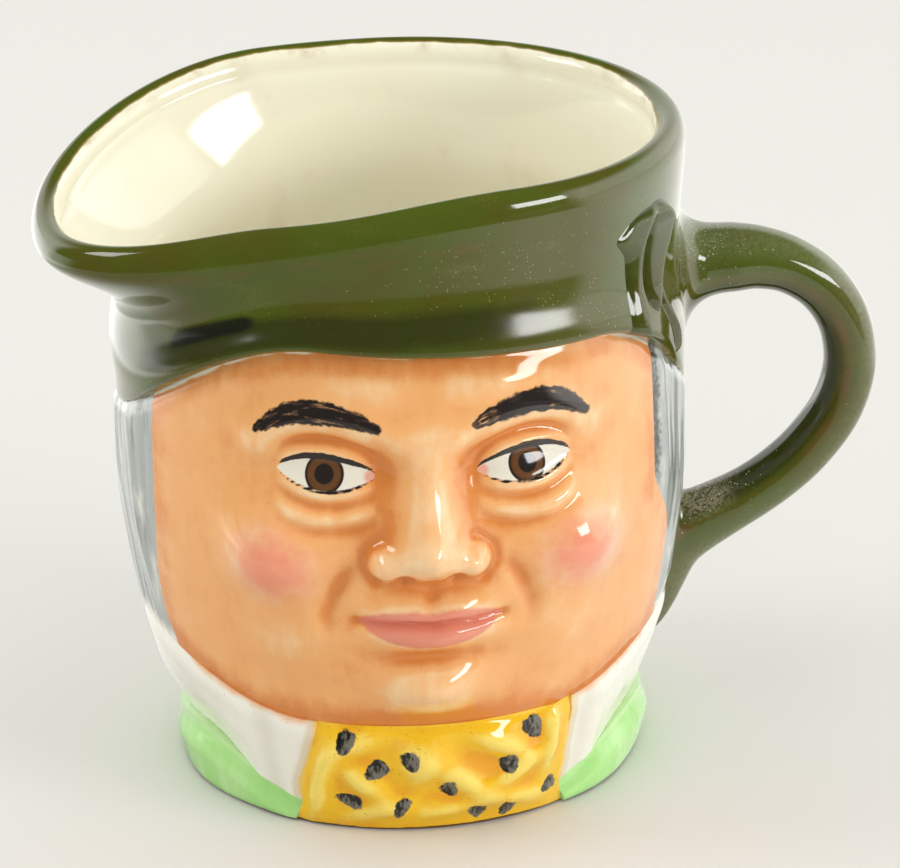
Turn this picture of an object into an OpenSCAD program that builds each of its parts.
// Character jug: a small glazed cream jug shaped as a head, whose hat is the rim and pouring lip.
// A plain pot holds the drink, and the hat stands on it and carries its wall up to the rim and the lip.
// The face, hair, collar, cravat and coat are relief pieces that cover both, each bedded in a thin joint
// of slip, and the handle is luted on last.
// Millimetres, +Z up. The origin is the centre of the foot, on the table. The face looks along -Y,
// the handle stands at +X and the pouring lip at -X.
// Angles called w run round the jug from the front, positive towards the handle.

/* [Pot] */
// Radius of the head's skin where it is widest
head_r = 28.2; // [26:0.1:32]
// Height of the widest place
head_z = 32; // [28:0.5:36]
// Radius of the skin at the foot
foot_r = 22.4; // [20:0.1:25]
// Radius of the skin under the hat
crown_r = 27.6; // [26:0.1:29]
// Thickness of the pot's own wall
pot_wall = 2.4; // [1.8:0.1:3.2]
// Thickness of the pot's floor
pot_floor = 4; // [2.5:0.1:6]
// Radius between the inner wall and the floor
floor_round = 7; // [3:0.5:10]
// Thickness of the relief pieces where they carry no modelling
relief_t = 2; // [1.4:0.1:3]
// Thickness of the slip joint between two pieces
lute = 0.15; // [0.1:0.01:0.2]

/* [Foot] */
// How far the bare clay foot stands out past the skin
foot_lip = 0.15; // [0:0.05:0.6]
// Height of the bare clay foot
foot_h = 0.4; // [0.3:0.05:1]
// Width of the worn slope at the foot's lower edge
foot_bevel = 0.2; // [0.1:0.05:0.25]

/* [Hat] */
// Height of the hat's lower edge over the brow
hat_front_z = 51.8; // [49:0.1:54]
// How far the hat's edge comes down over the temples and the nape
hat_drop = 14; // [8:0.5:17]
// How far the hat's edge overhangs the skin
hat_overhang = 0.4; // [0.2:0.1:1.5]
// Height of the soft swelling above the edge
hat_bulge = 0.8; // [0.2:0.1:1.2]
// How far the hat's own wall reaches down inside the head, below the lowest place of the hat's edge
hat_seat = 1.3; // [0.6:0.1:3]
// How much higher the hat sits on the side of the lip
hat_lean = 1.5; // [0:0.1:2.5]
// Height of the rim, half way between the front and the back
rim_z = 66.3; // [63:0.1:71]
// How much the rim rises from there to the front
rim_rise = 0.7; // [0:0.1:2]
// Radius of the rim's ridge, away from the lip
rim_r = 27; // [26:0.1:30]
// Thickness of the rolled rim
rim_t = 3; // [2.2:0.1:4]
// Height of the rim's round top
rim_crown = 2.2; // [1.2:0.1:3]
// Height at which the funnel inside the hat has narrowed to the pot's inside
funnel_z = 46; // [43:0.5:50]

/* [Pouring lip] */
// How far the lip reaches past the round rim
lip_reach = 7.4; // [4:0.1:10]
// How far the lip's tip lies below the rim
lip_dip = 7.1; // [3:0.1:8]
// Angle of the lip's tip from the front
lip_at = -77; // [-95:1:-70]

/* [Face] */
// Width of one eye, which sets the face's widths
eye_w = 9.8; // [8:0.1:11]
// Height of the brow line
brow_z = 43.5; // [42:0.1:46]
// Height of the chin
chin_z = 15.5; // [14:0.1:18]
// How far the nose stands out
nose_h = 5.2; // [3:0.1:6]
// How far the brows stand out
brow_h = 1.2; // [0.5:0.1:2]
// How far the eyes swell in their sockets
eye_h = 1.5; // [0.8:0.1:2]
// How far the mouth stands out
mouth_h = 1.6; // [0.8:0.1:2.5]
// How far the chin stands out
chin_h = 2.6; // [1:0.1:3.5]
// How far the cheeks swell
cheek_h = 2.4; // [1:0.1:4]

/* [Hair] */
// Angle from the front at which the hair begins, on the side of the lip
hair_from_left = 64; // [54:1:72]
// Angle from the front at which the hair begins, on the side of the handle
hair_from_right = 56; // [54:1:72]
// How far the hair stands out past the skin
hair_lift = 0.4; // [0.2:0.05:1]
// Depth of the furrows between two locks
lock_depth = 0.35; // [0.1:0.05:0.6]
// Angle that one lock takes
lock_w = 16; // [12:1:24]
// Height over which a lock leans sideways by its own width
lock_rise = 50; // [30:1:90]

/* [Dress] */
// Height of the collar's top at the sides and the nape
collar_z = 17; // [14:0.1:19]
// How far the jaw comes down below that at the front
jaw_dip = 4.5; // [2:0.1:5]
// How far the collar stands out past the skin
collar_lift = 0.2; // [0.1:0.05:0.8]
// Angle from the front at which the cravat meets the collar
cravat_half = 32; // [26:1:40]
// How far the cravat's folds stand out
cravat_lift = 1.4; // [0.6:0.1:2.5]
// Height of the coat's edge where it is highest, at the lapels
coat_z = 7; // [5.5:0.1:9]
// Height at which the coat's edge reaches the cravat
coat_tip_z = 2.6; // [2:0.1:3.2]
// How far the coat stands out past the skin
coat_lift = 0.8; // [0.3:0.05:1.2]
// Width of the rounding along the coat's edge
coat_round = 3.2; // [1.5:0.1:4]
// How far the collar is drawn in above the coat, at the sides and the nape
waist = 1.15; // [0.5:0.05:1.4]

/* [Handle] */
// Reach of the handle's outer side from the jug's axis
handle_reach = 47.9; // [44:0.1:54]
// Height at which the handle leaves the hat
handle_top_z = 48; // [46:0.1:50]
// Height at which the handle comes back to the head
handle_low_z = 21.2; // [19:0.1:23]
// Thickness of the handle, measured in its own plane
handle_t = 5.2; // [4:0.1:7]
// Width of the handle, measured across its plane
handle_w = 6; // [4.5:0.1:8]
// How much the handle's top end spreads where it meets the hat
handle_flare = 3.6; // [1.5:0.1:4]
// How far the handle's lower end is drawn out into a tail
tail_len = 8.4; // [4:0.1:9]

/* [Hat ribbon] */
// Height at which the ribbon is folded over
ribbon_top_z = 61.4; // [58:0.1:63]
// Angle of the ribbon's middle from the front
ribbon_at = 56; // [52:1:64]
// Half the width of the ribbon's fold
ribbon_half = 5.4; // [3:0.1:6]
// How far the ribbon stands out
ribbon_h = 1.2; // [0.6:0.1:2]

/* [Hidden] */

// The pot ends below the hat's edge all round, and the hat's own wall stands on it
pot_top = hat_front_z - hat_lean - hat_drop - hat_seat;
// The power of the curve from the foot to the widest place
belly_power = 1.45;
foot_out_r = foot_r + foot_lip;
// Relief pieces stand on the bare foot
dress_z = foot_h + lute;
// Angles from the front between which the hat's edge comes down, on the side of the lip and of the handle
hat_drop_left = [20, 90];
hat_drop_right = [36, 98];
// Angles from the front between which the jaw's edge rises to the collar's top
jaw_rise = [28, 74];
// Angle over which the coat's edge climbs from the cravat
coat_climb_w = 34;
// How far the coat's edge comes down again behind the lapels
coat_fall = 2;
// Angles over which the lip runs out into the rim, in front of its tip and behind it
lip_front_w = 47;
lip_back_w = 102;
dip_front_w = 97;
dip_back_w = 80;
// Angle of the handle's plane
handle_at = 90;
// Angular steps: one column of a relief piece, and one of the finely modelled pieces
step_w = 4;
fine_w = 2;
// Angle that the slip joint takes between two pieces side by side
seam_w = lute / head_r * 180 / PI;

// The face is set out in thirds, of which two lie between the chin and the brows
third = (brow_z - chin_z) / 2;

// General curves
function ease(low, high, x) =
    let (t = max(0, min(1, (x - low) / (high - low)))) t * t * (3 - 2 * t);
function bump(u, v) = exp(-u * u - v * v);
function mix(a, b, t) = a + (b - a) * t;
function turn(w) = (w + 540) % 360 - 180;
function on_jug(w, r, z) = [r * sin(w), -r * cos(w), z];
function bezier(p, t) =
    let (s = 1 - t) s * s * s * p[0] + 3 * s * s * t * p[1] + 3 * s * t * t * p[2] + t * t * t * p[3];
function bezier_way(p, t) =
    let (s = 1 - t) s * s * (p[1] - p[0]) + 2 * s * t * (p[2] - p[1]) + t * t * (p[3] - p[2]);

// Radius of the head's skin, and of the pot inside it
function skin_r(z) = z < head_z
    ? head_r - (head_r - foot_r) * pow(1 - z / head_z, belly_power)
    : head_r - (head_r - crown_r) * pow(min(1, (z - head_z) / (hat_front_z - head_z)), 2);
function pot_r(z) = skin_r(z) - relief_t;
function pot_in_r(z) = pot_r(z) - pot_wall;

// Edges between the pieces, as heights at the angle w
function hat_edge(w) = let (d = w < 0 ? hat_drop_left : hat_drop_right)
    hat_front_z - hat_lean * sin(w) - hat_drop * ease(d[0], d[1], abs(w));
function jaw_edge(w) = collar_z - jaw_dip * (1 - ease(jaw_rise[0], jaw_rise[1], abs(w)));
function coat_edge(w) = let (t = max(0, min(1, (abs(w) - cravat_half) / coat_climb_w)))
    mix(coat_tip_z, coat_z, sin(90 * pow(t, 1.3)))
    - coat_fall * ease(cravat_half + coat_climb_w, cravat_half + 2 * coat_climb_w, abs(w));

// The lip's share at the angle w: 1 at its tip and 0 where the rim is round
function lobe(w, front_w, back_w) =
    let (d = turn(w - lip_at), t = d > 0 ? d / front_w : -d / back_w) t < 1 ? (1 + cos(180 * t)) / 2 : 0;
function ridge_r(w) = rim_r + lip_reach * lobe(w, lip_front_w, lip_back_w);
function ridge_z(w) = rim_z + rim_rise * cos(w) - lip_dip * lobe(w, dip_front_w, dip_back_w);
function roll_z(w) = ridge_z(w) - rim_crown;

// Outer surfaces, as radii at the angle w and height z
function hat_r(w, z) =
    let (t = (z - hat_edge(w)) / (roll_z(w) - hat_edge(w)), s = skin_r(z), side = ease(45, 90, abs(w)),
         lift = hat_overhang * (1 - 0.8 * side) * ease(-0.05, 0.1, t),
         bulge = hat_bulge * (1 - 0.5 * ease(50, 90, w)) * bump((t - mix(0.1, 0.34, side)) / 0.2, 0))
    s + lift + bulge * ease(-0.05, 0.1, t) + (ridge_r(w) + rim_t / 2 - lift - s) * pow(ease(0.5, 1, t), 1.4);
function hair_r(w, z) =
    let (from = w < 0 ? hair_from_left : hair_from_right,
         side = ease(from, from + 8, abs(w)), lock = cos(360 * (abs(w) / lock_w + z / lock_rise)))
    skin_r(z) + side * (hair_lift - lock_depth * (1 - lock) / 2);
function collar_r(w, z) = skin_r(z) + collar_lift * ease(coat_edge(w), jaw_edge(w), z)
    - waist * bump((z - coat_edge(w)) / 4.2, 0) * ease(cravat_half + 4, cravat_half + 30, abs(w));
function coat_r(w, z) = skin_r(z) + coat_lift * (1 - 1.6 * ease(coat_edge(w) - coat_round, coat_edge(w), z));
function side_r(w, z) = z > hat_edge(w) ? hat_r(w, z) : z > jaw_edge(w) ? hair_r(w, z) : collar_r(w, z);

// Modelling of the face: s is the way round from the front in mm. u counts eye widths to either side.
// v counts thirds of the face up from the chin, so the nose ends at 1 and the brows lie at 2.
function face_relief(s, z) = let (u = abs(s) / eye_w, v = (z - chin_z) / third)
    0.4 * brow_h * bump(u / 1.6, (v - 2.43) / 0.43)
    + brow_h * bump((u - 1) / 0.77, (v - 2.04) / 0.16)
    - brow_h * bump((u - 1) / 0.6, (v - 1.75) / 0.23)
    + eye_h * bump((u - 1) / 0.41, (v - 1.75) / 0.16)
    + nose_h * (0.4 * bump(u / 0.25, (v - 1.64) / 0.43) + 0.7 * bump(u / 0.33, (v - 1.29) / 0.31)
        + 0.4 * bump(u / 0.31, (v - 1.16) / 0.17) + 0.3 * bump((u - 0.42) / 0.19, (v - 1.11) / 0.14))
    + cheek_h * bump((u - 1.45) / 0.66, (v - 1.14) / 0.39)
    + mouth_h * (bump(u / 0.82, (v - 0.67) / 0.32)
        + 0.44 * bump(u / 0.56, (v - 0.76) / 0.09) + 0.56 * bump(u / 0.49, (v - 0.56) / 0.09)
        - 0.5 * bump(u / 0.66, (v - 0.67) / 0.05) - 0.38 * bump(u / 0.51, (v - 0.37) / 0.1))
    + chin_h * (bump(u / 0.53, (v - 0.13) / 0.24) + 0.3 * bump((u - 1.33) / 0.61, (v - 0.32) / 0.36));
function face_r(w, z) = skin_r(z) + face_relief(w * PI / 180 * head_r, z);

// Folds of the cravat: a knot between two gathered ends
function cravat_r(w, z) =
    let (s = abs(w) / cravat_half, side = ease(1, 0.85, s),
         t = (z - dress_z) / (jaw_edge(0) - dress_z) - 0.55)
    skin_r(z) + cravat_lift * side * (0.4 + 0.6 * bump(s / 0.28, t / 0.29)
        + 0.5 * bump((s - 0.62) / 0.26, t / 0.31) - 0.35 * bump((s - 0.36) / 0.08, t / 0.52));

// A relief piece between two edges and two angles: rows of outer points, and of inner points every few rows
module relief(w0, w1, step, rows, every, low, high, outer) {
    cols = ceil((w1 - w0) / step);
    backs = rows / every;
    function place(i, j) = let (w = mix(w0, w1, i / cols)) [w, mix(low(w), high(w), j / rows)];
    function o(i, j) = i * (rows + 1) + j;
    function n(i, k) = (cols + 1) * (rows + 1) + i * (backs + 1) + k;
    points = concat(
        [for (i = [0:cols], j = [0:rows]) let (p = place(i, j)) on_jug(p[0], outer(p[0], p[1]), p[1])],
        [for (i = [0:cols], k = [0:backs])
            let (p = place(i, k * every)) on_jug(p[0], pot_r(p[1]) + lute, p[1])]);
    faces = concat(
        [for (i = [0:cols - 1], j = [0:rows - 1])
            each [[o(i, j), o(i, j + 1), o(i + 1, j + 1)], [o(i, j), o(i + 1, j + 1), o(i + 1, j)]]],
        [for (i = [0:cols - 1], k = [0:backs - 1])
            each [[n(i, k), n(i + 1, k + 1), n(i, k + 1)], [n(i, k), n(i + 1, k), n(i + 1, k + 1)]]],
        [for (i = [0:cols - 1])
            each [[o(i, 0), o(i + 1, 0), n(i + 1, 0)], [o(i, 0), n(i + 1, 0), n(i, 0)],
                  [o(i, rows), n(i, backs), n(i + 1, backs)], [o(i, rows), n(i + 1, backs), o(i + 1, rows)]]],
        [for (k = [0:backs - 1])
            each [[n(0, k), n(0, k + 1), o(0, (k + 1) * every)],
                  [n(cols, k), o(cols, (k + 1) * every), n(cols, k + 1)]]],
        [for (k = [0:backs - 1], j = [k * every:(k + 1) * every - 1])
            each [[o(0, j), n(0, k), o(0, j + 1)], [o(cols, j), o(cols, j + 1), n(cols, k)]]]);
    polyhedron(points, faces);
}

// A tube through rings of points: closed into a hoop, or with a fan over each end
module tube(rings, ends) {
    k = len(rings);
    m = len(rings[0]);
    hoop = len(ends) == 0;
    last = hoop ? k - 1 : k - 2;
    function at(i, j) = (i % k) * m + j % m;
    faces = concat(
        [for (i = [0:last], j = [0:m - 1])
            each [[at(i, j), at(i, j + 1), at(i + 1, j + 1)], [at(i, j), at(i + 1, j + 1), at(i + 1, j)]]],
        hoop ? [] : [for (j = [0:m - 1])
            each [[at(0, j + 1), at(0, j), k * m], [at(k - 1, j), at(k - 1, j + 1), k * m + 1]]]);
    polyhedron(concat([for (r = rings) each r], ends), faces);
}

// A strap that lies on the jug: points of its middle line as [angle, height], half widths and heights
module strap(middle, half, lift) {
    sides = 8;
    rings = [for (i = [0:len(middle) - 1])
        [for (j = [0:2 * sides - 1])
            let (back = j > sides, t = back ? 2 * (2 * sides - j) / sides - 1 : 2 * j / sides - 1,
                 w = middle[i][0] + t * half[i] / head_r * 180 / PI, z = middle[i][1],
                 r = side_r(w, z) + lute)
            on_jug(w, r + (back ? 0 : lute + lift[i] * sqrt(max(0, 1 - t * t))), z)]];
    mids = [for (i = [0, len(middle) - 1])
        on_jug(middle[i][0], side_r(middle[i][0], middle[i][1]) + 1.5 * lute, middle[i][1])];
    tube(rings, mids);
}

module pot() {
    wall = [for (k = [0:14]) mix(foot_h, pot_top, k / 14)];
    corner = [pot_in_r(pot_floor + floor_round) - floor_round, pot_floor + floor_round];
    inner = [for (k = [0:12]) mix(pot_top, corner[1], k / 12)];
    color("ivory") rotate_extrude($fn = 96) polygon(concat(
        [[0, 0], [foot_out_r - foot_bevel, 0], [foot_out_r, foot_bevel], [foot_out_r, foot_h]],
        [for (z = wall) [pot_r(z), z]],
        [for (z = inner) [pot_in_r(z), z]],
        [for (t = [15:15:90]) corner + floor_round * [cos(t), -sin(t)]],
        [[0, pot_floor]]));
}

module hat() {
    seats = 3;
    sides = 12;
    rolls = 6;
    funnels = 6;
    walls = 2;
    function section(w) = let (e = hat_edge(w), rr = ridge_r(w), rz = roll_z(w)) concat(
        [for (k = [0:seats]) let (z = mix(pot_top + lute, e, k / seats)) [pot_r(z), z]],
        [for (k = [0:sides]) let (z = mix(e, rz, k / sides)) [hat_r(w, z), z]],
        [for (k = [1:rolls]) let (t = 180 * k / rolls) [rr + rim_t / 2 * cos(t), rz + rim_crown * sin(t)]],
        [for (k = [1:funnels]) let (t = k / funnels)
            [mix(rr - rim_t / 2, pot_in_r(funnel_z), pow(ease(-0.12, 1, t), 0.9)), mix(rz, funnel_z, t)]],
        [for (k = [1:walls]) let (z = mix(funnel_z, pot_top + lute, k / walls)) [pot_in_r(z), z]]);
    color("darkolivegreen")
        tube([for (w = [-180:step_w:180 - step_w]) [for (p = section(w)) on_jug(w, p[0], p[1])]], []);
}

module face() {
    color("sandybrown")
        relief(-hair_from_left + seam_w, hair_from_right - seam_w, fine_w, rows = 30, every = 6,
               low = function(w) jaw_edge(w) + lute, high = function(w) hat_edge(w) - lute,
               outer = function(w, z) face_r(w, z));
}

module hair(from, to) {
    color("dimgray")
        relief(from, to, step_w, rows = 10, every = 2,
               low = function(w) jaw_edge(w) + lute, high = function(w) hat_edge(w) - lute,
               outer = function(w, z) hair_r(w, z));
}

module hair_left() {
    hair(-180 + seam_w, -hair_from_left);
}

module hair_right() {
    hair(hair_from_right, 180 - seam_w);
}

module cravat() {
    color("gold")
        relief(-cravat_half + seam_w, cravat_half - seam_w, fine_w, rows = 10, every = 5,
               low = function(w) dress_z, high = function(w) jaw_edge(w) - lute,
               outer = function(w, z) cravat_r(w, z));
}

module collar_right() {
    color("ivory")
        relief(cravat_half, 180 - seam_w, step_w, rows = 6, every = 2,
               low = function(w) coat_edge(w) + lute, high = function(w) jaw_edge(w) - lute,
               outer = function(w, z) collar_r(w, z));
}

module collar_left() {
    mirror([1, 0, 0]) collar_right();
}

module coat_right() {
    color("palegreen")
        relief(cravat_half, 180 - seam_w, step_w, rows = 4, every = 2,
               low = function(w) dress_z, high = function(w) coat_edge(w),
               outer = function(w, z) coat_r(w, z));
}

module coat_left() {
    mirror([1, 0, 0]) coat_right();
}

module handle() {
    sides = 16;
    steps = 16;
    limb_x = handle_reach - handle_t / 2;
    limb_z = mix(handle_low_z, handle_top_z, 0.64);
    span = handle_top_z - handle_low_z;
    top = [[side_r(handle_at, handle_top_z), handle_top_z],
           [mix(head_r, limb_x, 0.41), handle_top_z + 0.116 * span],
           [limb_x, handle_top_z + 0.04 * span], [limb_x, limb_z]];
    low = [top[3], [limb_x, limb_z - 0.38 * span], [mix(head_r, limb_x, 0.57), handle_low_z + 0.12 * span],
           [side_r(handle_at, handle_low_z), handle_low_z]];
    way = concat([for (k = [0:steps]) [bezier(top, k / steps), bezier_way(top, k / steps)]],
                 [for (k = [1:steps]) [bezier(low, k / steps), bezier_way(low, k / steps)]]);
    count = len(way);
    function flare(i) = handle_flare * (exp(-i / 2.2) + 0.4 * exp((i - count + 1) / 2.2));
    function tail(i) = tail_len * exp((i - count + 1) / 0.5);
    function bed(p) = let (w = atan2(p[0], -p[1])) on_jug(w, side_r(w, p[2]) + lute, p[2]);
    function ring(i) = let (c = way[i][0], d = way[i][1] / norm(way[i][1]))
        [for (j = [0:sides - 1]) let (b = -360 * j / sides,
            a = (handle_t / 2 + flare(i) + (cos(b) > 0 ? tail(i) : 0)) * cos(b))
            [c[0] - d[1] * a, (handle_w / 2 + 0.9 * flare(i)) * sin(b), c[1] + d[0] * a]];
    color("darkolivegreen")
        tube([for (i = [0:count - 1]) i == 0 || i == count - 1 ? [for (p = ring(i)) bed(p)] : ring(i)],
             [for (p = [top[0], low[3]]) bed([p[0], 0, p[1]])]);
}

module hat_ribbon() {
    steps = 16;
    low_z = hat_edge(ribbon_at) + 1.5 * ribbon_h;
    color("darkolivegreen")
        strap([for (k = [0:steps]) [ribbon_at, mix(ribbon_top_z, low_z, k / steps)]],
              [for (k = [0:steps]) ribbon_half * sqrt(sin(180 * mix(0.04, 0.94, k / steps)))],
              [for (k = [0:steps]) ribbon_h * pow(sin(180 * mix(0.05, 0.95, k / steps)), 0.7)]);
}

pot();
hat();
face();
hair_left();
hair_right();
collar_left();
collar_right();
cravat();
coat_left();
coat_right();
handle();
hat_ribbon();
